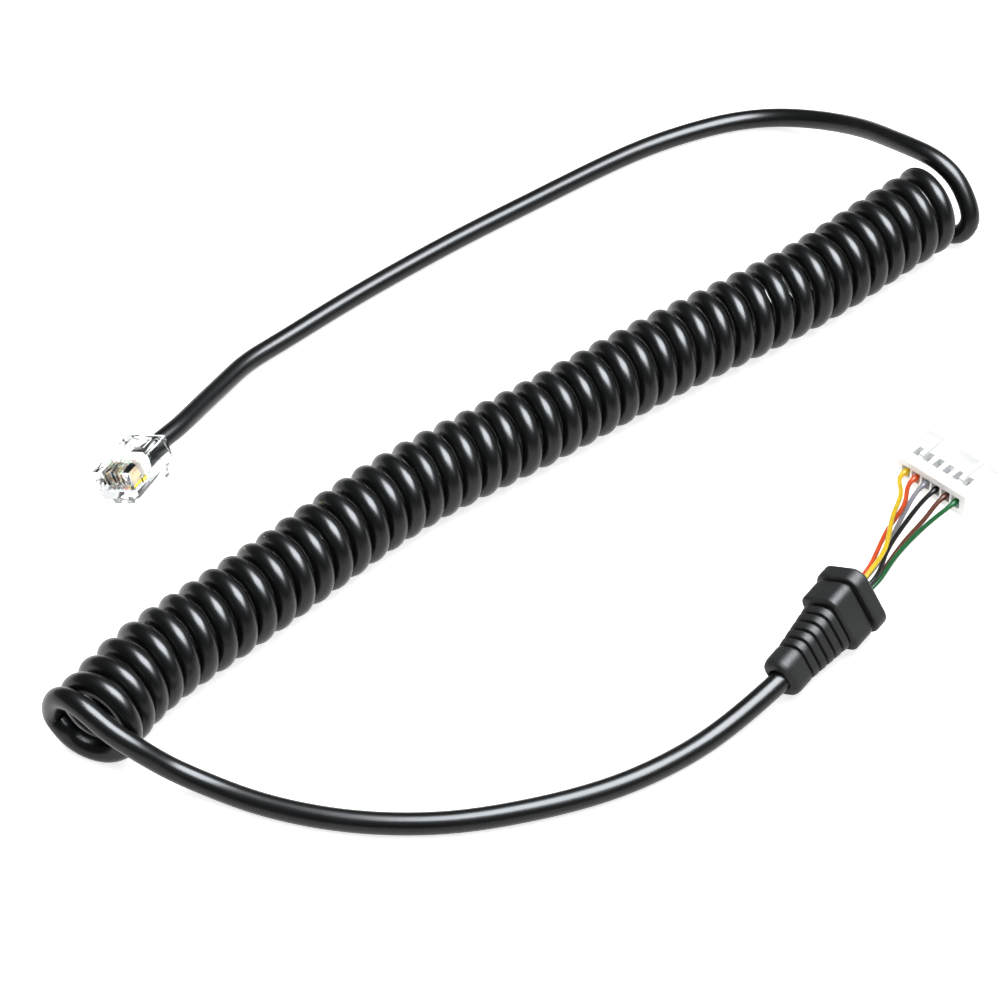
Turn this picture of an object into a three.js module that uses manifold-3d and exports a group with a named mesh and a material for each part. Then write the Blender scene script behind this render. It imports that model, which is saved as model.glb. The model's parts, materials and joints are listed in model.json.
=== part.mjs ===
// A coiled microphone cord: a six-way modular plug, a retractile cord, a moulded strain relief
// and six fly leads that end in a crimp housing. Millimetres, +Z up, the table is z = 0.
// +X runs along the coil towards the end that the plug's tail leaves.
import * as THREE from 'three';
import { mergeVertices } from 'three/addons/utils/BufferGeometryUtils.js';
import Module from 'manifold-3d';

const wasm = await Module();
wasm.setup();

// ---------------------------------------------------------------- driving dimensions

// Moves the layout below so that its bounding box is centred on the origin.
const LAYOUT_SHIFT = [0.9, -0.4, 0];
const TOUCH_GAP = 0.3;
const OVERSHOOT = 1;

const WAYS = 6;
const LEAD_COLOURS = [
  ['yellow', 0xe8c81e],
  ['orange', 0xd9481c],
  ['grey', 0x9a9ca3],
  ['black', 0x151515],
  ['brown', 0x6b3318],
  ['green', 0x1f7a3a],
];

const COIL = { radius: 9.0, sides: 20, steps: 44 };
const COIL_AXIS = [
  [-109.6, 5.4], [-104.0, 7.0], [-96.4, 9.0], [-78.4, 10.9], [-50.4, 13.3], [-24.4, 15.0],
  [1.6, 13.1], [36.6, 11.4], [76.6, 8.2], [93.6, 8.8], [107.6, 9.1],
];

const MIC_TAIL = { radius: 2.2, sides: 8, steps: 46 };
const MIC_TAIL_ROUTE = [
  [-2.9, -67.5, 5.2], [-12.0, -68.0, 3.5], [-21.4, -68.1, 2.3], [-31.4, -67.7, 2.3],
  [-41.4, -66.0, 2.3], [-51.4, -62.8, 2.3], [-61.4, -58.4, 2.3], [-70.4, -53.4, 2.3],
  [-78.4, -47.4, 2.3], [-85.4, -40.6, 2.3], [-91.4, -33.0, 2.3], [-96.4, -24.8, 2.4],
  [-100.6, -16.8, 3.2], [-104.4, -10.6, 5.4], [-108.2, -5.6, 9.2], [-111.4, -0.8, 13.0],
  [-113.4, 4.6, 15.6], [-114.4, 9.1, 13.9], [-114.8, 10.8, 10.8], [-114.7, 10.8, 7.3],
  [-114.2, 10.1, 5.6],
];

const PLUG_TAIL = { radius: 1.97, sides: 8, steps: 56 };
const PLUG_TAIL_ROUTE = [
  [109.9, 7.6, 2.3], [110.8, 3.6, 3.4], [112.3, 2.6, 6.6], [113.1, 4.6, 10.2],
  [113.3, 8.6, 13.7], [112.6, 13.6, 15.6], [112.0, 19.0, 15.2], [112.0, 26.4, 13.0],
  [112.2, 33.6, 10.4], [111.6, 40.8, 7.6], [109.6, 48.4, 4.8], [105.6, 55.2, 2.8],
  [99.0, 60.2, 2.0], [91.0, 63.2, 2.0], [80.3, 65.8, 2.0], [68.9, 67.2, 2.0],
  [52.0, 68.3, 2.0], [34.5, 69.3, 2.0], [17.0, 69.7, 2.0], [0.0, 69.5, 2.0],
  [-16.7, 68.8, 2.02], [-24.3, 68.0, 2.4], [-30.2, 66.2, 3.0], [-36.7, 63.8, 4.0],
  [-42.8, 61.4, 5.1], [-48.2, 59.4, 6.0], [-55.89, 57.42, 6.71], [-60.62, 55.74, 6.88],
];

const RELIEF = {
  nose: [-2.4, -67.3, 5.35],
  heading: 12.8,
  rise: 6.4,
  roll: -28,
  length: 25.8,
  noseLength: 5.0,
  ribPitch: 2.12,
  ribs: 5,
  grooveWidth: 0.7,
  grooveDepth: 0.75,
  blockStart: 16.2,
  flangeStart: 22.3,
  neckWidth: 0.7,
  boreRadius: 2.2,
  boreDepth: 3.0,
};
// Width, height and corner radius of the strain relief's rounded oblong section.
const NOSE_SECTION = [6.8, 8.6, 2.6];
const RIB_SECTION = [8.6, 10.8, 3.0];
const BLOCK_SECTION = [9.4, 12.8, 2.2];
const FLANGE_SECTION = [11.2, 13.8, 2.2];

const LEAD = { radius: 0.475, sides: 8, steps: 16 };
const LEAD_ROUTES = {
  yellow: [[27.0, -60.2, 9.8], [34.5, -55.3, 8.0], [40.2, -51.3, 6.9], [46.0, -46.6, 5.2]],
  orange: [[26.6, -59.3, 8.9], [33.9, -54.7, 6.6], [41.2, -50.0, 4.9], [48.4, -45.6, 3.6]],
  grey: [[26.9, -59.4, 7.6], [35.6, -55.2, 5.5], [43.0, -50.9, 4.3], [49.6, -47.2, 3.4]],
  black: [[27.1, -61.6, 9.0], [34.3, -57.0, 7.3], [41.6, -53.0, 5.7], [49.0, -49.6, 4.1]],
  brown: [[27.3, -60.8, 7.0], [34.6, -57.7, 5.4], [42.6, -54.3, 4.2], [50.4, -51.6, 3.2]],
  green: [[27.2, -62.0, 7.9], [33.4, -59.3, 7.0], [41.6, -56.2, 5.8], [49.6, -53.8, 4.2]],
};
// Angle of each lead around the bundle where it leaves the strain relief, in degrees.
const BUNDLE = { radius: 1.25, yellow: 90, orange: 150, grey: 210, brown: 270, green: 330, black: 30 };

const HOUSING = {
  rear: [56.7, -45.85, 0],
  heading: 7.4,
  length: 9.8,
  width: 17.4,
  height: 5.75,
  pitch: 2.5,
  cavityWidth: 2.0,
  cavityHeight: 2.6,
  cavityDepth: 8.6,
  pinWindow: 1.1,
  lanceWindow: [2.6, 5.0],
  lanceWindowWidth: 1.3,
  ribHeight: 0.5,
  ribWidth: 1.0,
  ribPlace: 5.0,
};
const TERMINAL = { start: 1.4, barrelEnd: 3.6, neckEnd: 4.4, end: 8.3, radius: 0.7, socket: 1.6 };

const PLUG = {
  centre: [-61.84, 55.3, 6.92],
  heading: 19.6,
  rise: -1.9,
  roll: -25,
  length: 12.7,
  width: 9.65,
  height: 6.6,
  pitch: 1.02,
  slotWidth: 0.66,
  slotEnd: -2.3,
  contactWidth: 0.35,
  wireRadius: 0.4,
  wireLevel: -1.0,
  jacketEnd: 1.3,
};
const LATCH = { frontWidth: 5.8, tabWidth: 3.3, thickness: 0.8, shoulder: -1.2, tip: 6.6, drop: 2.2 };

// ---------------------------------------------------------------- helpers

const degrees = THREE.MathUtils.degToRad;
const vector = (list) => new THREE.Vector3(...list);

/** A closed mesh as a manifold solid, for joining and cutting. */
function solid(geometry) {
  const bare = geometry.clone();
  bare.deleteAttribute('normal');
  bare.deleteAttribute('uv');
  const merged = mergeVertices(bare, 1e-4);
  return new wasm.Manifold(new wasm.Mesh({
    numProp: 3,
    vertProperties: new Float32Array(merged.attributes.position.array),
    triVerts: new Uint32Array(merged.index.array),
  }));
}

/** A manifold solid as a three.js geometry. */
function geometryOf(body) {
  const mesh = body.getMesh();
  const geometry = new THREE.BufferGeometry();
  geometry.setAttribute('position', new THREE.BufferAttribute(mesh.vertProperties, 3));
  geometry.setIndex(new THREE.BufferAttribute(mesh.triVerts, 1));
  geometry.computeVertexNormals();
  return geometry;
}

/** A box given by its low and high corners. */
function box(low, high) {
  const size = vector(high).sub(vector(low));
  const middle = vector(high).add(vector(low)).multiplyScalar(0.5);
  return new THREE.BoxGeometry(size.x, size.y, size.z).translate(middle.x, middle.y, middle.z);
}

/** A regular many-sided section for a round cord. */
function roundSection(radius, sides) {
  const corners = [];
  for (let i = 0; i < sides; i += 1) {
    const turn = (2 * Math.PI * i) / sides;
    corners.push(new THREE.Vector2(radius * Math.cos(turn), radius * Math.sin(turn)));
  }
  return new THREE.Shape(corners);
}

/** A round cord along a smooth curve through the points. */
function cord(points, { radius, sides, steps }) {
  const curve = new THREE.CatmullRomCurve3(points, false, 'centripetal');
  return new THREE.ExtrudeGeometry(roundSection(radius, sides), { steps, extrudePath: curve });
}

/** Corners of a rounded oblong, eight to each rounded corner. */
function roundedOblong([width, height, corner]) {
  const perCorner = 8;
  const ring = [];
  for (let quarter = 0; quarter < 4; quarter += 1) {
    const turn = (quarter * Math.PI) / 2;
    const signY = quarter === 0 || quarter === 3 ? 1 : -1;
    const signZ = quarter < 2 ? 1 : -1;
    for (let i = 0; i < perCorner; i += 1) {
      const angle = turn + (i / (perCorner - 1)) * (Math.PI / 2);
      ring.push([
        signY * (width / 2 - corner) + corner * Math.cos(angle),
        signZ * (height / 2 - corner) + corner * Math.sin(angle),
      ]);
    }
  }
  return ring;
}

/** A closed skin through rounded oblongs that stand square to the X axis. */
function loft(stations) {
  const positions = [];
  const indices = [];
  const rings = stations.map(([x, section]) => roundedOblong(section).map(([y, z]) => [x, y, z]));
  const count = rings[0].length;
  rings.forEach((ring) => ring.forEach((point) => positions.push(...point)));
  for (let r = 0; r < rings.length - 1; r += 1) {
    for (let i = 0; i < count; i += 1) {
      const a = r * count + i;
      const b = r * count + ((i + 1) % count);
      indices.push(a, b, b + count, a, b + count, a + count);
    }
  }
  for (let i = 1; i < count - 1; i += 1) {
    const last = (rings.length - 1) * count;
    indices.push(0, i + 1, i);
    indices.push(last, last + i, last + i + 1);
  }
  const geometry = new THREE.BufferGeometry();
  geometry.setAttribute('position', new THREE.Float32BufferAttribute(positions, 3));
  geometry.setIndex(indices);
  geometry.computeVertexNormals();
  return geometry;
}

/** Turns and moves an assembly: roll about its own X, then rise, then heading. */
function settle(group, place, { heading = 0, rise = 0, roll = 0 }) {
  group.position.copy(vector(place));
  group.rotation.set(degrees(roll), degrees(-rise), degrees(heading), 'ZYX');
  group.updateMatrixWorld(true);
  return group;
}

const finish = (color, roughness, metalness = 0, opacity = 1) => new THREE.MeshStandardMaterial({
  color, roughness, metalness, opacity, transparent: opacity < 1,
});
const FINISHES = {
  jacket: finish(0x17181a, 0.25),
  relief: finish(0x2b2c2e, 0.7),
  clear: finish(0xe9eef0, 0.1, 0, 0.35),
  gold: finish(0xd4a24a, 0.3, 1),
  nylon: finish(0xf4f4f0, 0.45),
  tin: finish(0xb9bcc0, 0.35, 1),
};

/** Names a mesh and puts it in its group. */
function place(group, name, geometry, material) {
  const mesh = new THREE.Mesh(geometry, material.clone());
  mesh.name = name;
  group.add(mesh);
  return mesh;
}

// ---------------------------------------------------------------- cord

/** The retracted coil as one fat tube, and the two tails that leave it. */
function buildCord() {
  const group = new THREE.Group();
  const axis = COIL_AXIS.map(([x, y]) => new THREE.Vector3(x, y, COIL.radius));
  place(group, 'coil', cord(axis, COIL), FINISHES.jacket);
  place(group, 'mic_tail', cord(MIC_TAIL_ROUTE.map(vector), MIC_TAIL), FINISHES.jacket);
  place(group, 'plug_tail', cord(PLUG_TAIL_ROUTE.map(vector), PLUG_TAIL), FINISHES.jacket);
  return group;
}

// ---------------------------------------------------------------- strain relief

/** The section part of the way from the nose to the last rib, pulled in by a depth. */
function taperedSection(share, pull = 0) {
  return NOSE_SECTION.map((size, i) => {
    const full = THREE.MathUtils.lerp(size, RIB_SECTION[i], share);
    return i < 2 ? full - 2 * pull : Math.max(0.4, full - pull);
  });
}

/** Nose, ribs, block and flange in one moulding, with the bore that the leads leave by. */
function buildStrainRelief() {
  const group = new THREE.Group();
  const shrink = ([width, height, corner], by) => [width - 2 * by, height - 2 * by, Math.max(0.4, corner - by)];
  const stations = [
    [0, shrink(NOSE_SECTION, 1.0)],
    [0.35, shrink(NOSE_SECTION, 0.45)],
    [1.0, shrink(NOSE_SECTION, 0.12)],
    [1.8, NOSE_SECTION],
  ];
  for (let i = 0; i <= RELIEF.ribs; i += 1) {
    const start = RELIEF.noseLength + i * RELIEF.ribPitch;
    const share = i / RELIEF.ribs;
    const end = start + RELIEF.grooveWidth;
    stations.push([start, taperedSection(share)]);
    stations.push([start + 0.05, taperedSection(share, RELIEF.grooveDepth)]);
    stations.push([end - 0.05, taperedSection(share, RELIEF.grooveDepth)]);
    if (i < RELIEF.ribs) {
      stations.push([end, taperedSection(share)]);
    }
  }
  const edge = 0.5;
  stations.push([RELIEF.blockStart, shrink(BLOCK_SECTION, edge)]);
  stations.push([RELIEF.blockStart + edge, BLOCK_SECTION]);
  stations.push([RELIEF.flangeStart - RELIEF.neckWidth, BLOCK_SECTION]);
  stations.push([RELIEF.flangeStart - RELIEF.neckWidth + 0.05, shrink(BLOCK_SECTION, 0.8)]);
  stations.push([RELIEF.flangeStart, shrink(BLOCK_SECTION, 0.8)]);
  stations.push([RELIEF.flangeStart + 0.05, shrink(FLANGE_SECTION, 0.2)]);
  stations.push([RELIEF.flangeStart + edge, FLANGE_SECTION]);
  stations.push([RELIEF.length - edge, FLANGE_SECTION]);
  stations.push([RELIEF.length, shrink(FLANGE_SECTION, edge)]);
  const bore = new THREE.CylinderGeometry(RELIEF.boreRadius, RELIEF.boreRadius, RELIEF.boreDepth + OVERSHOOT, 24);
  bore.rotateZ(Math.PI / 2);
  bore.translate(RELIEF.length + (OVERSHOOT - RELIEF.boreDepth) / 2, 0, 0);
  const body = solid(loft(stations)).subtract(solid(bore));
  place(group, 'strain_relief', geometryOf(body), FINISHES.relief);
  return settle(group, RELIEF.nose, RELIEF);
}

// ---------------------------------------------------------------- connector

/** Places of the six ways across a connector, first way at the high end. */
const wayOffsets = (pitch) => LEAD_COLOURS.map((_, i) => ((WAYS - 1) / 2 - i) * pitch);

/** The nylon housing with six cavities, and a crimp terminal in each. */
function buildConnector() {
  const group = new THREE.Group();
  const middle = HOUSING.height / 2;
  const halfWidth = HOUSING.width / 2;
  let shell = solid(box([0, -halfWidth, 0], [HOUSING.length, halfWidth, HOUSING.height]));
  for (const side of [-1, 1]) {
    const y = side * HOUSING.ribPlace;
    shell = shell.add(solid(box(
      [3.0, y - HOUSING.ribWidth / 2, HOUSING.height - OVERSHOOT],
      [HOUSING.length, y + HOUSING.ribWidth / 2, HOUSING.height + HOUSING.ribHeight],
    )));
  }
  for (const y of wayOffsets(HOUSING.pitch)) {
    const halfCavity = HOUSING.cavityWidth / 2;
    const halfPin = HOUSING.pinWindow / 2;
    const halfLance = HOUSING.lanceWindowWidth / 2;
    shell = shell.subtract(solid(box(
      [-OVERSHOOT, y - halfCavity, middle - HOUSING.cavityHeight / 2],
      [HOUSING.cavityDepth, y + halfCavity, middle + HOUSING.cavityHeight / 2],
    )));
    shell = shell.subtract(solid(box(
      [HOUSING.cavityDepth - OVERSHOOT, y - halfPin, middle - halfPin],
      [HOUSING.length + OVERSHOOT, y + halfPin, middle + halfPin],
    )));
    shell = shell.subtract(solid(box(
      [HOUSING.lanceWindow[0], y - halfLance, middle],
      [HOUSING.lanceWindow[1], y + halfLance, HOUSING.height + OVERSHOOT],
    )));
  }
  place(group, 'connector_housing', geometryOf(shell), FINISHES.nylon);
  wayOffsets(HOUSING.pitch).forEach((y, i) => {
    place(group, `crimp_terminal_${i + 1}`, crimpTerminal(y, middle), FINISHES.tin);
  });
  return settle(group, HOUSING.rear, HOUSING);
}

/** One crimp terminal: barrel round the lead, neck, and a box that takes the header's pin. */
function crimpTerminal(y, z) {
  const { start, barrelEnd, neckEnd, end, radius, socket } = TERMINAL;
  const barrel = new THREE.CylinderGeometry(radius, radius, barrelEnd - start, 12);
  barrel.rotateZ(Math.PI / 2);
  barrel.translate((start + barrelEnd) / 2, y, z);
  const half = socket / 2;
  const neck = box([barrelEnd - 0.5, y - 0.45, z - 0.6], [neckEnd + 0.5, y + 0.45, z - 0.1]);
  const sleeve = box([neckEnd, y - half, z - half], [end, y + half, z + half]);
  const pinHole = box([neckEnd + 0.8, y - 0.45, z - 0.45], [end + OVERSHOOT, y + 0.45, z + 0.45]);
  return geometryOf(solid(barrel).add(solid(neck)).add(solid(sleeve)).subtract(solid(pinHole)));
}

// ---------------------------------------------------------------- fly leads

/** Six thin leads from the strain relief's bore into the housing's cavities. */
function buildLeads(relief, connector) {
  const group = new THREE.Group();
  const ways = wayOffsets(HOUSING.pitch);
  LEAD_COLOURS.forEach(([colour, shade], i) => {
    const turn = degrees(BUNDLE[colour] + RELIEF.roll);
    const across = -BUNDLE.radius * Math.cos(turn);
    const up = BUNDLE.radius * Math.sin(turn);
    const inBore = [-RELIEF.boreDepth + 0.4, 0].map((back) => (
      relief.localToWorld(new THREE.Vector3(RELIEF.length + back, across, up))
    ));
    const inCavity = [-2.0, 0.4, TERMINAL.start - TOUCH_GAP].map((x) => (
      connector.localToWorld(new THREE.Vector3(x, ways[i], HOUSING.height / 2))
    ));
    const points = [...inBore, ...LEAD_ROUTES[colour].map(vector), ...inCavity];
    place(group, `lead_${colour}`, cord(points, LEAD), finish(shade, 0.4));
  });
  return group;
}

// ---------------------------------------------------------------- modular plug

/** The clear body: a block with contact slots in front and a stepped cavity behind. */
function plugBody() {
  const halfLength = PLUG.length / 2;
  const halfWidth = PLUG.width / 2;
  const halfHeight = PLUG.height / 2;
  let shell = solid(box([-halfLength, -halfWidth, -halfHeight], [halfLength, halfWidth, halfHeight]));
  const cuts = [
    // room for the wires, their fan and the jacket
    box([-5.5, -3.15, -1.6], [-0.8, 3.15, -0.35]),
    box([-1.4, -3.15, -2.3], [halfLength + OVERSHOOT, 3.15, 2.3]),
    // recess that the cord clamp is pressed down through
    box([2.2, -2.4, 2.7], [5.2, 2.4, halfHeight + OVERSHOOT]),
    // the keyway down each side of the nose
    box([-halfLength - OVERSHOOT, halfWidth - 0.5, -0.9], [-3.6, halfWidth + OVERSHOOT, 0.9]),
    box([-halfLength - OVERSHOOT, -halfWidth - OVERSHOOT, -0.9], [-3.6, -halfWidth + 0.5, 0.9]),
  ];
  for (const y of wayOffsets(PLUG.pitch)) {
    const half = PLUG.slotWidth / 2;
    cuts.push(box([-halfLength - OVERSHOOT, y - half, 0.2], [PLUG.slotEnd, y + half, halfHeight + OVERSHOOT]));
    cuts.push(box([-5.2, y - half, -0.6], [PLUG.slotEnd, y + half, 0.5]));
  }
  cuts.forEach((cut) => {
    shell = shell.subtract(solid(cut));
  });
  return geometryOf(shell);
}

/** The springy latch: a wide root behind the nose and a narrow tab that slopes away below. */
function plugLatch() {
  const top = -PLUG.height / 2 - TOUCH_GAP;
  const root = -PLUG.length / 2 + 0.2;
  const slope = LATCH.drop / (LATCH.tip - root);
  const level = (x) => top - slope * (x - root);
  const side = (from, to, width) => {
    const outline = new THREE.Shape([
      new THREE.Vector2(from, level(from) - LATCH.thickness),
      new THREE.Vector2(to, level(to) - LATCH.thickness),
      new THREE.Vector2(to, level(to)),
      new THREE.Vector2(from, level(from)),
    ]);
    const slab = new THREE.ExtrudeGeometry(outline, { depth: width, bevelEnabled: false });
    slab.rotateX(Math.PI / 2);
    slab.translate(0, width / 2, 0);
    return solid(slab);
  };
  return geometryOf(side(root, LATCH.shoulder, LATCH.frontWidth).add(side(root, LATCH.tip, LATCH.tabWidth)));
}

/** One gold contact: a blade with a rounded top that pierces the wire under it. */
function plugContact(y) {
  const outline = new THREE.Shape();
  const wireTop = PLUG.wireLevel + PLUG.wireRadius;
  outline.moveTo(-5.0, wireTop + 0.2);
  outline.lineTo(-2.6, wireTop + 0.2);
  outline.lineTo(-2.6, 2.2);
  outline.lineTo(-3.1, 2.7);
  outline.lineTo(-5.3, 2.7);
  outline.absarc(-5.3, 2.1, 0.6, Math.PI / 2, Math.PI, false);
  outline.lineTo(-5.9, 0.5);
  outline.lineTo(-5.0, 0.5);
  outline.closePath();
  const width = PLUG.contactWidth;
  const blade = new THREE.ExtrudeGeometry(outline, { depth: width, bevelEnabled: false, curveSegments: 6 });
  blade.rotateX(Math.PI / 2);
  blade.translate(0, y + width / 2, 0);
  return blade;
}

/** The modular plug with its latch, contacts and the six wires inside it. */
function buildPlug() {
  const group = new THREE.Group();
  place(group, 'plug_body', plugBody(), FINISHES.clear);
  place(group, 'plug_latch', plugLatch(), FINISHES.clear);
  const bundleAngles = [0, 300, 60, 120, 240, 180];
  wayOffsets(PLUG.pitch).forEach((y, i) => {
    // the plug's row runs the other way from the housing's
    const [colour, shade] = LEAD_COLOURS[WAYS - 1 - i];
    const turn = degrees(bundleAngles[i]);
    const bundleY = 1.2 * Math.cos(turn);
    const bundleZ = 1.2 * Math.sin(turn);
    const points = [
      [-5.2, y, PLUG.wireLevel],
      [-3.2, y, PLUG.wireLevel],
      [-1.4, y, PLUG.wireLevel],
      [PLUG.jacketEnd - 0.9, bundleY, bundleZ],
      [PLUG.jacketEnd - TOUCH_GAP, bundleY, bundleZ],
    ].map(vector);
    const wire = { radius: PLUG.wireRadius, sides: 8, steps: 12 };
    place(group, `plug_contact_${i + 1}`, plugContact(y), FINISHES.gold);
    place(group, `plug_wire_${colour}`, cord(points, wire), finish(shade, 0.4));
  });
  return settle(group, PLUG.centre, PLUG);
}

// ---------------------------------------------------------------- assembly

const cordSet = new THREE.Group();
const relief = buildStrainRelief();
const connector = buildConnector();
cordSet.add(buildCord(), relief, connector, buildLeads(relief, connector), buildPlug());
cordSet.position.copy(vector(LAYOUT_SHIFT));

export default cordSet;
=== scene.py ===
"""Looks of a coiled microphone cord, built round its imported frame.

The cord is one glossy black curly cord. A ribbed strain relief, six fly leads and a crimp housing
are at one end, and a clear six-way modular plug is at the other. Each of them is a class below,
after the studio, and main() builds them in order.

The studio, the finishes and a Place are in metres, and the sub-assemblies' own sizes are in
millimetres. The routes of the cord and the leads are in the frame in which the cord was laid out,
and LAYOUT_SHIFT carries them into the part's frame. The strain relief, the housing and the plug
have frames of their own, with X along the piece, and a Place carries those.
"""

import json
import logging
import math
from collections.abc import Sequence
from dataclasses import dataclass, field
from enum import Enum

import bmesh
import bpy
import numpy as np
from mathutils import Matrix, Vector


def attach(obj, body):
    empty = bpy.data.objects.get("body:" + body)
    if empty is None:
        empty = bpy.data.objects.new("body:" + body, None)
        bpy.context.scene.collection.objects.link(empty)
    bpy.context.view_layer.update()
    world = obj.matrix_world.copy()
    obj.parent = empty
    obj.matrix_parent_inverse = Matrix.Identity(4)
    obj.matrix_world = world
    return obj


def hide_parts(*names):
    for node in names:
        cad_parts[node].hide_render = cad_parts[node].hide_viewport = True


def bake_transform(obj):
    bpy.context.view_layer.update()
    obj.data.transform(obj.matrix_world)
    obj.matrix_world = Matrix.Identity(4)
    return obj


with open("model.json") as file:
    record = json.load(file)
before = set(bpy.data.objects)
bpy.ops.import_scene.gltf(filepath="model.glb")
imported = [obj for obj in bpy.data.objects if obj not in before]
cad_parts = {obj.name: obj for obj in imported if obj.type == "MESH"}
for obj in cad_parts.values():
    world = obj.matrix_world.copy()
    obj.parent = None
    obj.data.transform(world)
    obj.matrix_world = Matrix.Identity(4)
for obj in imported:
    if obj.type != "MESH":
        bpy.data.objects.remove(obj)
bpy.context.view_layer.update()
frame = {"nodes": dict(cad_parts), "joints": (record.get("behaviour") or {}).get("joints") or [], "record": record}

LOG = logging.getLogger("cord")

MM = 0.001
LAYOUT_SHIFT = np.array([0.9, -0.4, 0.0])
WAYS = 6
COLOURS = ("yellow", "orange", "grey", "black", "brown", "green")
UP = np.array([0.0, 0.0, 1.0])

Point = Sequence[float]


# ---------------------------------------------------------------- lines and surfaces


def unit(vectors: np.ndarray) -> np.ndarray:
    """Vectors cut to length one, along the last axis."""
    return vectors / np.linalg.norm(vectors, axis=-1, keepdims=True)


def spline(knots: np.ndarray, values: np.ndarray, at: np.ndarray) -> np.ndarray:
    """A natural cubic spline through rows of values.

    The second derivatives at the knots come from one linear system, in which slope and bend
    run on through every knot and the bend is nothing at both ends.

    Args:
        knots: Where each row lies, rising.
        values: One row for each knot.
        at: The places to work out.

    Returns:
        One row for each place.
    """
    gap = np.diff(knots)
    slope = np.diff(values, axis=0) / gap[:, None]
    inner = np.arange(1, len(knots) - 1)
    system = np.eye(len(knots))
    system[inner, inner] = 2 * (gap[:-1] + gap[1:])
    system[inner, inner - 1] = gap[:-1]
    system[inner, inner + 1] = gap[1:]
    right = np.zeros_like(values, dtype=float)
    right[inner] = 6 * np.diff(slope, axis=0)
    bend = np.linalg.solve(system, right)
    i = np.clip(np.searchsorted(knots, at) - 1, 0, len(gap) - 1)
    width = gap[i][:, None]
    left = (knots[i + 1] - at)[:, None]
    passed = (at - knots[i])[:, None]
    cubic = (bend[i] * left**3 + bend[i + 1] * passed**3) / (6 * width)
    line = (values[i] / width - bend[i] * width / 6) * left
    return cubic + line + (values[i + 1] / width - bend[i + 1] * width / 6) * passed


def table_spline(pairs: Sequence[Point], at: np.ndarray) -> np.ndarray:
    """One value for each place, from a natural cubic spline through pairs of place and value."""
    knots, values = np.array(pairs).T
    return spline(knots, values[:, None], at)[:, 0]


def travelled(points: np.ndarray) -> np.ndarray:
    """How far along a line each of its points lies."""
    steps = np.linalg.norm(np.diff(points, axis=0), axis=1)
    return np.concatenate([[0.0], np.cumsum(steps)])


def smooth_line(points: np.ndarray, step: float) -> np.ndarray:
    """A smooth line through the points, with its own points a step apart."""
    along = travelled(points)
    at = np.linspace(0, along[-1], math.ceil(along[-1] / step) + 1)
    return spline(along, points, at)


def carried_sides(line: np.ndarray) -> tuple[np.ndarray, np.ndarray]:
    """Two directions square to a line at each point, carried along it without a twist.

    Each point first gets a pair from the axis that lies most square to the line there. The least
    turn that takes one tangent to the next carries a pair on, and the angle by which the next
    pair differs is summed up along the line and turned back.

    Args:
        line: The points of the line.

    Returns:
        The first and the second direction at each point.
    """
    ahead = unit(np.gradient(line, axis=0))
    helper = np.eye(3)[np.abs(ahead).argmin(axis=1)]
    first = unit(np.cross(ahead, helper))
    second = np.cross(ahead, first)
    before, after = ahead[:-1], ahead[1:]
    reach = (first[:-1] * after).sum(1) / (1 + (before * after).sum(1))
    moved = first[:-1] - reach[:, None] * (before + after)
    twist = np.arctan2((moved * second[1:]).sum(1), (moved * first[1:]).sum(1))
    turn = np.concatenate([[0.0], np.cumsum(twist)])[:, None]
    return (
        np.cos(turn) * first + np.sin(turn) * second,
        np.cos(turn) * second - np.sin(turn) * first,
    )


def tube(line: np.ndarray, radius: float | np.ndarray, sides: int) -> np.ndarray:
    """A round tube as a grid: each row is a ring of points round one point of the line."""
    first, second = carried_sides(line)
    turn = np.linspace(0, 2 * np.pi, sides, endpoint=False)[None, :, None]
    reach = np.broadcast_to(radius, len(line))[:, None, None]
    ring = np.cos(turn) * first[:, None] + np.sin(turn) * second[:, None]
    return line[:, None] + reach * ring


def rounded_run(
    stations: np.ndarray, cut: float, steps: int = 3, largest: float = 0.45,
) -> np.ndarray:
    """The rows again, with every sharp change between them rounded off.

    A corner is left a cut before it and joined again a cut after it, by the curve
    (1-t)^2 A + 2t(1-t) V + t^2 B, where V is the corner. Short stretches take a smaller cut.

    Args:
        stations: One row of sizes for each station.
        cut: How far from a corner the rounding starts.
        steps: Pieces in each rounding.
        largest: The largest share of a stretch that one cut takes.

    Returns:
        The rounded rows, the first and last as they were.
    """
    back = stations[:-2] - stations[1:-1]
    on = stations[2:] - stations[1:-1]
    long_back = np.linalg.norm(back, axis=1, keepdims=True)
    long_on = np.linalg.norm(on, axis=1, keepdims=True)
    start = stations[1:-1] + back * np.minimum(cut / long_back, largest)
    end = stations[1:-1] + on * np.minimum(cut / long_on, largest)
    t = np.linspace(0, 1, steps + 1)[None, :, None]
    corner = stations[1:-1, None]
    bent = (1 - t) ** 2 * start[:, None] + 2 * t * (1 - t) * corner + t**2 * end[:, None]
    return np.concatenate([stations[:1], bent.reshape(-1, stations.shape[1]), stations[-1:]])


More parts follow.
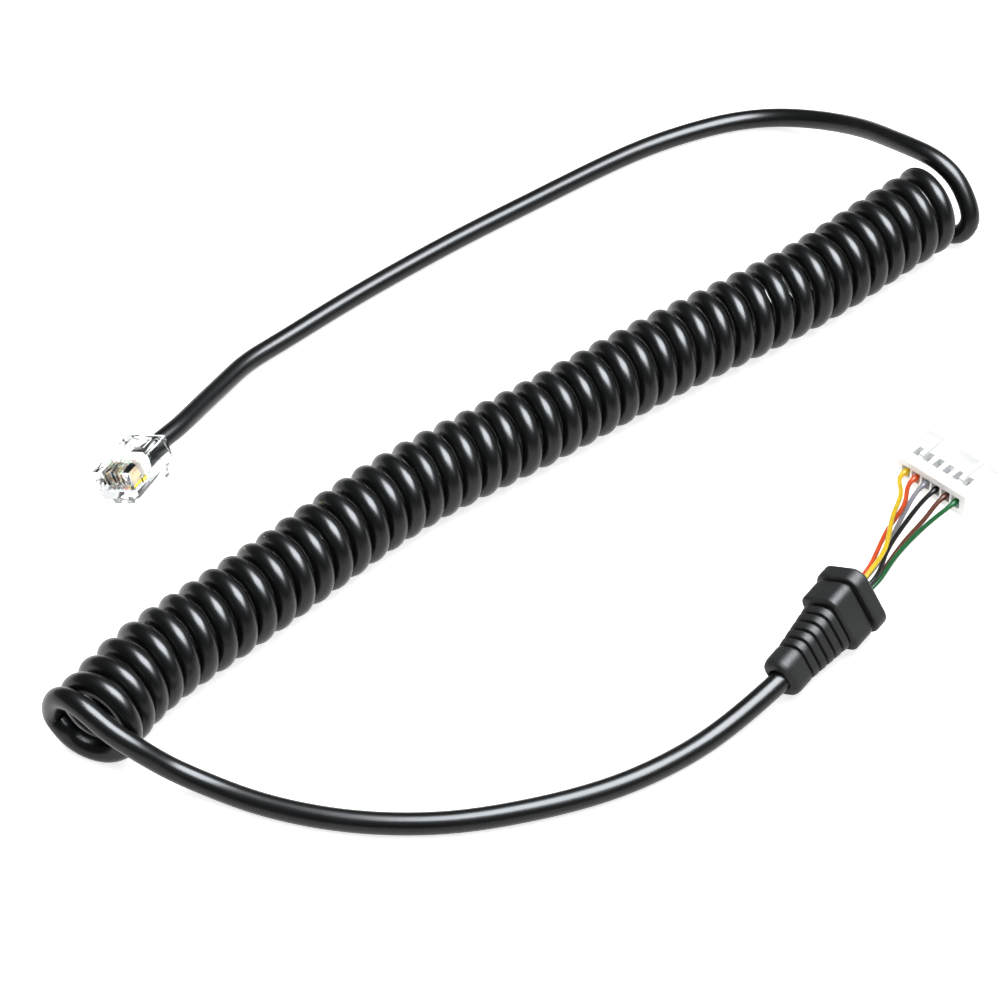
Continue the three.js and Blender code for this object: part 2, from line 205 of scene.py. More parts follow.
def oblong_rings(stations: np.ndarray, per_corner: int) -> np.ndarray:
    """Rounded oblongs square to the X axis, as a grid with a row for each station.

    A ring's corner is an arc about a centre that lies a corner radius inside both sides, so a
    ring as wide and high as two radii is a circle.

    Args:
        stations: Rows of x, middle y, middle z, width, height and corner radius.
        per_corner: Points on each rounded corner.

    Returns:
        The grid of points.
    """
    quarter = np.repeat(np.arange(4), per_corner)
    turn = quarter * np.pi / 2 + np.tile(np.linspace(0, np.pi / 2, per_corner), 4)
    side_y = np.where((quarter == 0) | (quarter == 3), 1, -1)
    side_z = np.where(quarter < 2, 1, -1)
    x, middle_y, middle_z, width, height, corner = (stations[:, i, None] for i in range(6))
    # a corner stays just short of half its ring, so that no two points fall together
    corner = np.minimum(corner, np.minimum(width, height) / 2 - 1e-4)
    y = middle_y + side_y * (width / 2 - corner) + corner * np.cos(turn)
    z = middle_z + side_z * (height / 2 - corner) + corner * np.sin(turn)
    return np.stack([np.broadcast_to(x, y.shape), y, z], axis=2)


def skin(name: str, grid: np.ndarray, sharp: float | None = None) -> bpy.types.Object:
    """A closed mesh from a grid whose rows are rings, with a pole in the middle of each end ring.

    The UV map runs once round each ring and, in metres, along the rows.

    Args:
        name: The piece's name.
        grid: Rings of points in metres, in the part's frame.
        sharp: Edges that turn by more than this angle in degrees stay sharp.

    Returns:
        The new object, linked to the scene.
    """
    rows, around = grid.shape[:2]
    points = np.concatenate([grid.reshape(-1, 3), grid[[0, -1]].mean(axis=1)])
    row, column = np.meshgrid(np.arange(rows - 1), np.arange(around), indexing="ij")
    following = (column + 1) % around
    start, end = row * around, (row + 1) * around
    quads = np.stack([start + column, start + following, end + following, end + column], axis=2)
    i = np.arange(around)
    following = (i + 1) % around
    last = (rows - 1) * around
    low = np.stack([following, i, np.full(around, rows * around)], axis=1)
    high = np.stack([last + i, last + following, np.full(around, rows * around + 1)], axis=1)
    mesh = bpy.data.meshes.new(name)
    mesh.from_pydata(points, [], [*quads.reshape(-1, 4).tolist(), *low.tolist(), *high.tolist()])
    along = travelled(grid.mean(axis=1))
    u = np.stack([column, column + 1, column + 1, column], axis=2) / around
    v = along[np.stack([row, row, row + 1, row + 1], axis=2)]
    body = np.stack([u, v], axis=3).reshape(-1, 2)
    caps = np.zeros((6 * around, 2))
    layer = mesh.uv_layers.new(name="UVMap")
    layer.data.foreach_set("uv", np.concatenate([body, caps]).ravel())
    mesh.polygons.foreach_set("use_smooth", np.ones(len(mesh.polygons), bool))
    if sharp is not None:
        mesh.set_sharp_from_angle(angle=math.radians(sharp))
    mesh.update()
    piece = bpy.data.objects.new(name, mesh)
    bpy.context.scene.collection.objects.link(piece)
    return face_outward(piece)


def face_outward(piece: bpy.types.Object) -> bpy.types.Object:
    """Turns a closed mesh's faces outward, and returns its object."""
    work = bmesh.new()
    work.from_mesh(piece.data)
    if work.calc_volume(signed=True) < 0:
        bmesh.ops.reverse_faces(work, faces=work.faces)
    work.to_mesh(piece.data)
    work.free()
    return piece


def eased_copy(name: str, node: str, ease: float, sharp: float = 35) -> bpy.types.Object:
    """A merged copy of a CAD node whose sharp edges are eased by a small bevel.

    Args:
        name: The new piece's name.
        node: The CAD node to copy.
        ease: The bevel's width in metres.
        sharp: Edges that turn by more than this angle in degrees are eased.

    Returns:
        The new piece, which stands for the node.
    """
    work = bmesh.new()
    work.from_mesh(frame["nodes"][node].data)
    bmesh.ops.remove_doubles(work, verts=work.verts, dist=ease / 20)
    bmesh.ops.dissolve_limit(work, angle_limit=math.radians(0.5), verts=work.verts, edges=work.edges)
    mesh = bpy.data.meshes.new(name)
    work.to_mesh(mesh)
    work.free()
    mesh.polygons.foreach_set("use_smooth", np.ones(len(mesh.polygons), bool))
    piece = bpy.data.objects.new(name, mesh)
    bpy.context.scene.collection.objects.link(piece)
    bevel = piece.modifiers.new("eased edges", "BEVEL")
    bevel.width = ease
    bevel.segments = 2
    bevel.limit_method = "ANGLE"
    bevel.angle_limit = math.radians(sharp)
    bevel.harden_normals = True
    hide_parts(node)
    return piece


@dataclass(frozen=True)
class Place:
    """Where a sub-assembly's own frame lies in the part's frame, in metres."""

    origin: np.ndarray
    ahead: np.ndarray
    side: np.ndarray
    top: np.ndarray

    @classmethod
    def on_mount(cls, mount: str, at: Point, ahead: float, top: np.ndarray) -> "Place":
        """The frame of the sub-assembly that a mount belongs to.

        Args:
            mount: The mount's name in the record.
            at: The mount's point in the sub-assembly's own frame, in millimetres.
            ahead: 1 if the mount faces along the sub-assembly's X, and -1 if it faces against it.
            top: A direction that shows which way its Z points, square to X or nearly so.

        Returns:
            The place.
        """
        found = next(m for m in frame["record"]["mounts"] if m["name"] == mount)
        x = unit(np.array(found["axis"]) * ahead)
        y = unit(np.cross(top, x))
        z = np.cross(x, y)
        origin = np.array(found["pos_m"]) - MM * (at[0] * x + at[1] * y + at[2] * z)
        return cls(origin, x, y, z)

    def put(self, points: np.ndarray | Sequence[Point]) -> np.ndarray:
        """Points of the sub-assembly's frame, in millimetres, as points of the part's frame."""
        turned = np.asarray(points, float) @ np.stack([self.ahead, self.side, self.top])
        return self.origin + MM * turned

    def rolled(self, angle: float) -> "Place":
        """The same place rolled about its own X by an angle in degrees."""
        c, s = math.cos(math.radians(angle)), math.sin(math.radians(angle))
        side = c * self.side + s * self.top
        return Place(self.origin, self.ahead, side, np.cross(self.ahead, side))


# ---------------------------------------------------------------- finishes


class Grain(Enum):
    """How a finish's fine relief runs."""

    DRAWN = "lines along a drawn jacket"
    SPARKED = "the pebbled skin of a spark-eroded mould"
    FLOWED = "the slow waves of a polished mould"
    PLATED = "the drawn lines of plated strip"


DRAWN_SCALE = (14, 30, 1)  # lines round a jacket, and changes for each metre along it
PLATED_SCALE = (1, 1, 0.12)  # the lines run along Z


class Tree:
    """A material's nodes, with short ways to add and join them."""

    def __init__(self, name: str) -> None:
        """Starts a material with only its shader and its output."""
        self.material = bpy.data.materials.new(name)
        self.material.use_nodes = True
        self.shader = self.material.node_tree.nodes["Principled BSDF"]

    def add(self, kind: str, settings: dict[str, str] | None = None, **inputs: float) -> bpy.types.Node:
        """Adds a node.

        Args:
            kind: Blender's name for the kind of node.
            settings: The node's own settings.
            **inputs: Values of its input sockets, with each blank in a name as an underscore.

        Returns:
            The node.
        """
        node = self.material.node_tree.nodes.new(kind)
        for name, value in (settings or {}).items():
            setattr(node, name, value)
        for name, value in inputs.items():
            node.inputs[name.replace("_", " ")].default_value = value
        return node

    def join(self, source: bpy.types.NodeSocket, target: bpy.types.NodeSocket) -> None:
        """Joins an output socket to an input socket."""
        self.material.node_tree.links.new(source, target)

    def spread(self, source: bpy.types.NodeSocket, low: float, high: float) -> bpy.types.NodeSocket:
        """A pattern's middle range, 0.3 to 0.7, spread from a low value to a high one."""
        node = self.add("ShaderNodeMapRange", From_Min=0.3, From_Max=0.7, To_Min=low, To_Max=high)
        self.join(source, node.inputs["Value"])
        return node.outputs["Result"]


@dataclass(frozen=True)
class Finish:
    """A moulded, drawn or plated surface.

    The colour drifts between two close shades, the roughness between two values, and a fine
    grain gives the relief. Lengths are in metres.
    """

    name: str
    colour: tuple[float, float, float]
    shade: tuple[float, float, float]
    roughness: tuple[float, float]
    grain: Grain
    grain_size: float
    relief: float
    drift_size: float = 0.006
    shader: dict[str, float | tuple[float, ...]] = field(default_factory=dict)

    def material(self) -> bpy.types.Material:
        """Makes the material, or returns it if it has been made."""
        made = bpy.data.materials.get(self.name)
        if made:
            return made
        tree = Tree(self.name)
        place = tree.add("ShaderNodeTexCoord")
        drift = tree.add("ShaderNodeTexNoise", Scale=1 / self.drift_size, Detail=4.0)
        tree.join(place.outputs["Object"], drift.inputs["Vector"])
        shades = tree.add("ShaderNodeMix", {"data_type": "RGBA"})
        shades.inputs["A"].default_value = (*self.colour, 1)
        shades.inputs["B"].default_value = (*self.shade, 1)
        tree.join(tree.spread(drift.outputs["Fac"], 0, 1), shades.inputs["Factor"])
        tree.join(shades.outputs["Result"], tree.shader.inputs["Base Color"])
        grain = self._grain(tree, place)
        tree.join(tree.spread(grain, *self.roughness), tree.shader.inputs["Roughness"])
        bump = tree.add("ShaderNodeBump", Strength=1.0, Distance=self.relief)
        tree.join(grain, bump.inputs["Height"])
        tree.join(bump.outputs["Normal"], tree.shader.inputs["Normal"])
        for socket, value in self.shader.items():
            tree.shader.inputs[socket].default_value = value
        return tree.material

    def _grain(self, tree: Tree, place: bpy.types.Node) -> bpy.types.NodeSocket:
        """The pattern of the fine relief, from 0 to 1."""
        scale = 1 / self.grain_size
        if self.grain is Grain.SPARKED:
            pebbles = tree.add("ShaderNodeTexNoise", Scale=scale, Detail=6.0, Roughness=0.6)
            tree.join(place.outputs["Object"], pebbles.inputs["Vector"])
            return pebbles.outputs["Fac"]
        if self.grain is Grain.FLOWED:
            waves = tree.add("ShaderNodeTexNoise", Scale=scale, Detail=2.0, Distortion=0.4)
            tree.join(place.outputs["Object"], waves.inputs["Vector"])
            return waves.outputs["Fac"]
        stretch = tree.add("ShaderNodeMapping")
        if self.grain is Grain.DRAWN:
            stretch.inputs["Scale"].default_value = DRAWN_SCALE
            tree.join(place.outputs["UV"], stretch.inputs["Vector"])
            lines = tree.add("ShaderNodeTexNoise", Scale=1.0, Detail=5.0, Roughness=0.55)
        else:
            stretch.inputs["Scale"].default_value = PLATED_SCALE
            tree.join(place.outputs["Object"], stretch.inputs["Vector"])
            lines = tree.add("ShaderNodeTexNoise", Scale=scale, Detail=4.0, Roughness=0.6)
        tree.join(stretch.outputs["Vector"], lines.inputs["Vector"])
        return lines.outputs["Fac"]

    def dress(self, piece: bpy.types.Object, slot: str) -> None:
        """Gives a piece this finish."""
        piece.data.materials.clear()
        piece.data.materials.append(self.material())


JACKET = Finish(
    "glossy black jacket", (0.0022, 0.0024, 0.0025), (0.0042, 0.0044, 0.0045), (0.26, 0.32),
    Grain.DRAWN, 0.001, 0.00001, shader={"Specular IOR Level": 0.26})
CHARCOAL = Finish(
    "matt charcoal moulding", (0.0045, 0.0047, 0.0044), (0.0075, 0.0077, 0.0073), (0.42, 0.58),
    Grain.SPARKED, 0.00035, 0.00003, shader={"Specular IOR Level": 0.22})
NYLON = Finish(
    "white nylon", (0.82, 0.83, 0.82), (0.87, 0.87, 0.85), (0.32, 0.45), Grain.FLOWED,
    0.0012, 0.00001, shader={
        "Subsurface Weight": 0.25, "Subsurface Radius": (0.6, 0.6, 0.5), "Subsurface Scale": 0.001})
TIN = Finish(
    "tin-plated terminal", (0.62, 0.63, 0.64), (0.5, 0.51, 0.53), (0.25, 0.42), Grain.PLATED,
    0.0002, 0.000006, shader={"Metallic": 1.0})
GOLD = Finish(
    "gold-plated contact", (0.88, 0.68, 0.44), (0.76, 0.54, 0.32), (0.3, 0.42), Grain.PLATED,
    0.00015, 0.000006, shader={"Metallic": 0.6})
FROSTED = Finish(
    "frosted clamp bar", (0.86, 0.84, 0.74), (0.8, 0.78, 0.68), (0.4, 0.55), Grain.FLOWED,
    0.0009, 0.00001, shader={"Subsurface Weight": 0.2, "Subsurface Scale": 0.0008})
CLEAR = Finish(
    "clear polycarbonate", (0.97, 0.985, 0.985), (0.94, 0.965, 0.97), (0.015, 0.05), Grain.FLOWED,
    0.0015, 0.000008, shader={"Transmission Weight": 1.0, "IOR": 1.58})
INSULATION = {
    "yellow": ((0.85, 0.6, 0.02), (0.75, 0.5, 0.015)),
    "orange": ((0.72, 0.09, 0.015), (0.6, 0.07, 0.012)),
    "grey": ((0.27, 0.28, 0.32), (0.22, 0.23, 0.26)),
    "black": ((0.003, 0.003, 0.0035), (0.005, 0.005, 0.005)),
    "brown": ((0.14, 0.035, 0.012), (0.1, 0.025, 0.009)),
    "green": ((0.004, 0.13, 0.03), (0.003, 0.1, 0.022)),
}


def insulation(colour: str) -> Finish:
    """The finish of one conductor's coloured insulation."""
    light, dark = INSULATION[colour]
    return Finish(
        f"{colour} insulation", light, dark, (0.3, 0.4), Grain.FLOWED, 0.0006, 0.000006,
        shader={"Specular IOR Level": 0.18})


# ---------------------------------------------------------------- studio


@dataclass(frozen=True)
class Lamp:
    """A square area light that faces the origin, in metres and watts.

    It lights matt surfaces, is seen in glossy ones, or is seen through clear ones.
    """

    name: str
    place: Point
    size: float
    power: float
    colour: tuple[float, float, float] = (1.0, 1.0, 1.0)
    diffuse: bool = False
    gloss: bool = False
    clear: bool = False

    def hang(self) -> None:
        """Makes the light."""
        data = bpy.data.lights.new(self.name, "AREA")
        data.shape = "SQUARE"
        data.size = self.size
        data.energy = self.power
        data.color = self.colour
        light = bpy.data.objects.new(self.name, data)
        light.location = self.place
        light.rotation_euler = Vector(self.place).to_track_quat("Z", "Y").to_euler()
        light.visible_camera = False
        light.visible_diffuse = self.diffuse
        light.visible_glossy = self.gloss
        light.visible_transmission = self.clear
        bpy.context.scene.collection.objects.link(light)


@dataclass
class Studio:
    """The camera, the pale table and the soft light over it, in metres.

    Nested softboxes make a highlight that fades towards its edge.
    """

    azimuth: float = -40.0
    elevation: float = 45.1
    distance: float = 1.2
    target: Point = (-0.0075, 0.0073, 0.0)
    sensor: float = 36.0
    lens: float = 220.32
    table_half: float = 8.0
    table_level: float = -0.0001
    table_glow: float = 0.78
    room_strength: float = 0.14
    softbox_place: Point = (0.16, -0.16, 0.67)
    softbox_sizes: Sequence[float] = (0.18, 0.34, 0.6)
    softbox_colour: tuple[float, float, float] = (0.9, 0.95, 1.0)
    softbox_watts_per_area: float = 120.0

    def build(self) -> None:
        """Makes the camera, the table, the lights and the surroundings."""
        self._camera()
        self._table()
        for lamp in self._lamps():
            lamp.hang()
        self._world()

    def _towards(self) -> Vector:
        """The direction from the target to the camera."""
        turn, rise = math.radians(self.azimuth), math.radians(self.elevation)
        level = math.cos(rise)
        return Vector((math.sin(turn) * level, -math.cos(turn) * level, math.sin(rise)))

    def _camera(self) -> None:
        """Makes the scene's camera, with no shift and no depth of field."""
        data = bpy.data.cameras.new("camera")
        data.sensor_width = self.sensor
        data.lens = self.lens
        data.clip_start = 0.05
        data.clip_end = 100
        camera = bpy.data.objects.new("camera", data)
        camera.location = Vector(self.target) + self._towards() * self.distance
        camera.rotation_euler = (-self._towards()).to_track_quat("-Z", "Y").to_euler()
        bpy.context.scene.collection.objects.link(camera)
        bpy.context.scene.camera = camera
        bpy.context.scene.view_settings.view_transform = "Standard"

    def _table(self) -> None:
        """Makes the white table, lit a little from below as a light table is."""
        half = self.table_half
        corners = [(-half, -half), (half, -half), (half, half), (-half, half)]
        mesh = bpy.data.meshes.new("table")
        mesh.from_pydata([(x, y, self.table_level) for x, y in corners], [], [(0, 1, 2, 3)])
        table = bpy.data.objects.new("table", mesh)
        bpy.context.scene.collection.objects.link(table)
        tree = Tree("white table")
        tree.shader.inputs["Base Color"].default_value = (0.9, 0.9, 0.9, 1)
        tree.shader.inputs["Roughness"].default_value = 0.8
        tree.shader.inputs["Specular IOR Level"].default_value = 0.1
        tree.shader.inputs["Emission Color"].default_value = (1, 1, 1, 1)
        tree.shader.inputs["Emission Strength"].default_value = self.table_glow
        mesh.materials.append(tree.material)

    def _lamps(self) -> list[Lamp]:
        """The softboxes seen in gloss, the ceiling that lights all round, and a pale canopy."""
        softboxes = [
            Lamp(
                f"softbox_{i}", self.softbox_place, size, self.softbox_watts_per_area * size**2,
                self.softbox_colour, gloss=True, clear=True)
            for i, size in enumerate(self.softbox_sizes, 1)]
        ceiling = Lamp("ceiling", (0.0, 0.0, 1.4), 1.6, 30.0, diffuse=True)
        canopy = Lamp("canopy", (0.0, 0.0, 1.2), 6.0, 80.0, clear=True)
        return [*softboxes, ceiling, canopy]

    def _world(self) -> None:
        """Makes the pale room that surrounds the table."""
        world = bpy.data.worlds.new("room")
        world.use_nodes = True
        background = world.node_tree.nodes["Background"]
        background.inputs["Color"].default_value = (0.95, 0.97, 1.0, 1)
        background.inputs["Strength"].default_value = self.room_strength
        bpy.context.scene.world = world


# ---------------------------------------------------------------- cord


@dataclass
class CurlyCord:
    """The jacket: a tail from the strain relief, the retracted coil, and a tail to the plug.

    The coil is a left-handed helix about a gently bowed line. The tails are the points that the
    cord passes through before the first turn and after the last.
    """

    mic_tail: Sequence[Point] = (
        (-2.9, -67.5, 5.2), (-12.0, -68.0, 3.5), (-21.4, -68.1, 2.3), (-31.4, -67.7, 2.3),
        (-41.4, -66.0, 2.3), (-51.4, -62.8, 2.3), (-61.4, -58.4, 2.3), (-70.4, -53.4, 2.3),
        (-78.4, -47.4, 2.3), (-85.4, -40.6, 2.3), (-91.4, -33.0, 2.3), (-96.4, -24.8, 2.4),
        (-100.7, -16.9, 3.4), (-104.9, -11.1, 6.1), (-109.1, -6.6, 10.6), (-112.0, -1.5, 13.9),
        (-113.6, 4.4, 16.3), (-114.2, 9.4, 14.6), (-114.3, 11.6, 11.0), (-113.9, 11.6, 7.0))
    plug_tail: Sequence[Point] = (
        (110.8, 3.6, 3.4), (112.3, 2.6, 6.6), (113.1, 4.6, 10.2), (113.3, 8.6, 13.7),
        (112.6, 13.6, 15.6), (112.0, 19.0, 15.2), (112.0, 26.4, 13.0), (112.2, 33.6, 10.4),
        (111.6, 40.8, 7.6), (109.6, 48.4, 4.8), (105.6, 55.2, 2.8), (99.0, 60.2, 2.0),
        (91.0, 63.2, 2.0), (80.3, 65.8, 2.0), (68.9, 67.2, 2.0), (52.0, 68.3, 2.0),
        (34.5, 69.3, 2.0), (17.0, 69.7, 2.0), (0.0, 69.5, 2.0), (-16.7, 68.8, 2.02),
        (-24.3, 68.0, 2.4), (-30.2, 66.2, 3.0), (-36.7, 63.8, 4.0), (-42.8, 61.4, 5.1),
        (-48.2, 59.4, 6.0), (-55.89, 57.42, 6.71), (-60.62, 55.74, 6.88))
    # along X, how far the coil's bowed line lies along Y
    axis: Sequence[Point] = (
        (-109.6, 4.6), (-104.0, 6.8), (-96.4, 9.0), (-78.4, 10.9), (-50.4, 13.3), (-24.4, 15.0),
        (1.6, 13.1), (36.6, 11.4), (76.6, 8.2), (93.6, 8.8), (107.6, 9.1))
    # turn number, and how far along X the coil has come by that turn
    turn_places: Sequence[Point] = (
        (0, -112.2), (1, -107.4), (2, -102.4), (3, -97.4), (10, -62.4), (17, -27.4),
        (24, 6.1), (31, 39.6), (38, 73.2), (42, 92.3), (43, 97.1), (44, 101.9), (45, 106.8),
        (45.38, 109.2))
    # along X, the coil's outer radius
    outer_radii: Sequence[Point] = (
        (-113.0, 9.7), (-109.0, 9.5), (-104.0, 9.2), (-97.0, 9.1), (-60.0, 8.8), (0.0, 8.65),
        (60.0, 8.8), (110.0, 9.05))
    # the angle above the level at which turn 0 begins
    start_angle: float = 37.5
    first_turn: float = 0.1875
    last_turn: float = 45.38
    mic_radius: float = 2.2
    plug_radius: float = 1.97
    per_turn: int = 40
    sides: int = 20
    step: float = 1.1
    # where the cord ends inside the strain relief
    tuck: Point = (0.4, -67.1, 5.62)
    # the shares of the cord's length between which its radius falls
    mic_share: float = 0.08
    plug_share: float = 0.88

    def line(self) -> np.ndarray:
        """The cord's centreline in layout millimetres, from the strain relief to the plug."""
        keys = np.concatenate([[self.tuck], self.mic_tail, self._helix(), self.plug_tail])
        return smooth_line(keys, self.step)

    def _helix(self) -> np.ndarray:
        """The coil's turns.

        A point is C + R (cos a n + sin a z). C runs along the bowed line at the height of the
        outer radius, n is the level direction square to that line, z is up, and the angle a
        falls by a full circle for each turn.
        """
        count = round((self.last_turn - self.first_turn) * self.per_turn)
        turn = np.linspace(self.first_turn, self.last_turn, count)
        x = table_spline(self.turn_places, turn)
        y = table_spline(self.axis, x)
        heading = np.arctan(np.gradient(y, x))
        level = np.stack([-np.sin(heading), np.cos(heading), np.zeros(count)], axis=1)
        outer = table_spline(self.outer_radii, x)
        reach = (outer - self._radius(x))[:, None]
        angle = np.radians(self.start_angle - 360 * turn)[:, None]
        centre = np.stack([x, y, outer], axis=1)
        return centre + reach * (np.cos(angle) * level + np.sin(angle) * UP)

    def _radius(self, x: np.ndarray) -> np.ndarray:
        """The jacket's radius, which falls evenly along the coil."""
        span = [self.turn_places[0][1], self.turn_places[-1][1]]
        return np.interp(x, span, [self.mic_radius, self.plug_radius])

    def build(self, on_plug: Sequence[bpy.types.Object]) -> bpy.types.Object:
        """Args:
            on_plug: The pieces of the plug on its far end. Not used.

        Returns:
            The cord.
        """
        line = self.line()
        share = np.linspace(0, 1, len(line))
        ends = [self.mic_radius, self.plug_radius]
        radius = np.interp(share, [self.mic_share, self.plug_share], ends)
        metres = MM * (line + LAYOUT_SHIFT)
        cord = skin("curly_cord", tube(metres, MM * radius, self.sides))
        JACKET.dress(cord, "jacket")
        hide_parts("coil", "mic_tail", "plug_tail")
        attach(cord, "root")
        return cord


# ---------------------------------------------------------------- strain relief


@dataclass
class StrainRelief:
    """The charcoal moulding: a nose, five ribs, a block, a groove and a flange."""

    length: float = 25.8
    roll: float = -28.0
    groove_middle: float = 21.95
    # width, height and corner radius of each section
    nose: Point = (6.8, 8.6, 2.6)
    rib: Point = (8.6, 10.8, 3.0)
    block: Point = (9.4, 12.8, 2.2)
    flange: Point = (11.2, 13.8, 3.0)
    nose_length: float = 5.0
    rib_pitch: float = 2.12
    ribs: int = 5
    groove_width: float = 0.7
    groove_depth: float = 0.75
    block_start: float = 16.2
    flange_start: float = 22.3
    neck_width: float = 0.7
    neck_depth: float = 0.8
    edge: float = 0.5
    # places along X, and how far the nose is drawn in there to round its edge
    nose_rounding: Sequence[Point] = ((0.0, 0.9), (0.35, 0.4), (1.0, 0.1), (1.8, 0.0))
    groove_slope: float = 0.06
    neck_slope: float = 0.05
    flange_ease: float = 0.2
    rounding: float = 0.3
    smallest_corner: float = 0.4
    cord_hole: float = 2.3
    cord_hole_depth: float = 1.6
    cord_hole_lip: float = 0.2
    bore: float = 2.2
    bore_depth: float = 3.0
    bore_lip: float = 0.25

    def place(self) -> Place:
        """The moulding's frame, from the mount in the groove that the case wall fits."""
        level = Place.on_mount("case_groove", (self.groove_middle, 0, 0), 1, UP)
        return level.rolled(self.roll)

    def build(self) -> bpy.types.Object:
        """Makes the moulding as one closed skin, and dresses it."""
        grid = self.place().put(oblong_rings(self._stations(), per_corner=10))
        moulding = skin("relief_moulding", grid, sharp=40)
        CHARCOAL.dress(moulding, "relief")
        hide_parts("strain_relief")
        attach(moulding, "root")
        return moulding

    def _stations(self) -> np.ndarray:
        """Rows of x, middle y, middle z, width, height and corner radius, from hole to bore."""
        lip, slope = self.cord_hole_lip, self.groove_slope
        rows = [
            self._round(self.cord_hole_depth, self.cord_hole), self._round(lip, self.cord_hole),
            self._round(0.0, self.cord_hole + lip)]
        rows += [self._section(x, self.nose, pull) for x, pull in self.nose_rounding]
        for i in range(self.ribs + 1):
            start = self.nose_length + i * self.rib_pitch
            end = start + self.groove_width
            section = self._tapered(i / self.ribs)
            rows += [
                self._section(start, section, 0),
                self._section(start + slope, section, self.groove_depth),
                self._section(end - slope, section, self.groove_depth)]
            if i < self.ribs:
                rows.append(self._section(end, section, 0))
        neck, flange = self.flange_start - self.neck_width, self.flange_start
        rows += [
            self._section(self.block_start, self.block, self.edge),
            self._section(self.block_start + self.edge, self.block, 0),
            self._section(neck, self.block, 0),
            self._section(neck + self.neck_slope, self.block, self.neck_depth),
            self._section(flange, self.block, self.neck_depth),
            self._section(flange + self.neck_slope, self.flange, self.flange_ease),
            self._section(flange + self.edge, self.flange, 0),
            self._section(self.length - self.edge, self.flange, 0),
            self._section(self.length, self.flange, self.edge),
            self._round(self.length, self.bore + self.bore_lip),
            self._round(self.length - self.bore_lip, self.bore),
            self._round(self.length - self.bore_depth, self.bore)]
        return rounded_run(np.array(rows), self.rounding)

    def _tapered(self, share: float) -> np.ndarray:
        """The section part of the way from the nose to the last rib."""
        return np.array(self.nose) + share * (np.array(self.rib) - np.array(self.nose))

    def _section(self, x: float, section: Point, pull: float) -> tuple[float, ...]:
        """One station's row, with the section drawn in by a pull on every side."""
        width, height, corner = section
        corner = max(self.smallest_corner, corner - pull)
        return (x, 0, 0, width - 2 * pull, height - 2 * pull, corner)

    def _round(self, x: float, radius: float) -> tuple[float, ...]:
        """One station's row for a circle."""
        return (x, 0, 0, 2 * radius, 2 * radius, radius)


# ---------------------------------------------------------------- leads and housing


@dataclass
class CrimpHousing:
    """The white housing with six ways, and the terminals that grip the leads."""

    length: float = 9.8
    height: float = 5.75
    pitch: float = 2.5
    face_level: float = 1.0
    ease: float = 0.12
    terminal_ease: float = 0.05

    def place(self) -> Place:
        """The housing's frame, from the mount on its mating face."""
        return Place.on_mount("connector_face", (self.length, 0, self.face_level), 1, UP)

    def way(self, index: int) -> float:
        """How far across the housing a way lies, with the first way furthest along Y."""
        return ((WAYS - 1) / 2 - index) * self.pitch

    def build(self) -> list[bpy.types.Object]:
        """Makes the housing and its terminals, and dresses them."""
        shell = eased_copy("housing_moulding", "connector_housing", MM * self.ease)
        NYLON.dress(shell, "housing_nylon")
        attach(shell, "root")
        pieces = [shell]
        for i in range(1, WAYS + 1):
            terminal = eased_copy(f"terminal_{i}", f"crimp_terminal_{i}", MM * self.terminal_ease)
            TIN.dress(terminal, "terminal_tin")
            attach(terminal, "root")
            pieces.append(terminal)
        return pieces


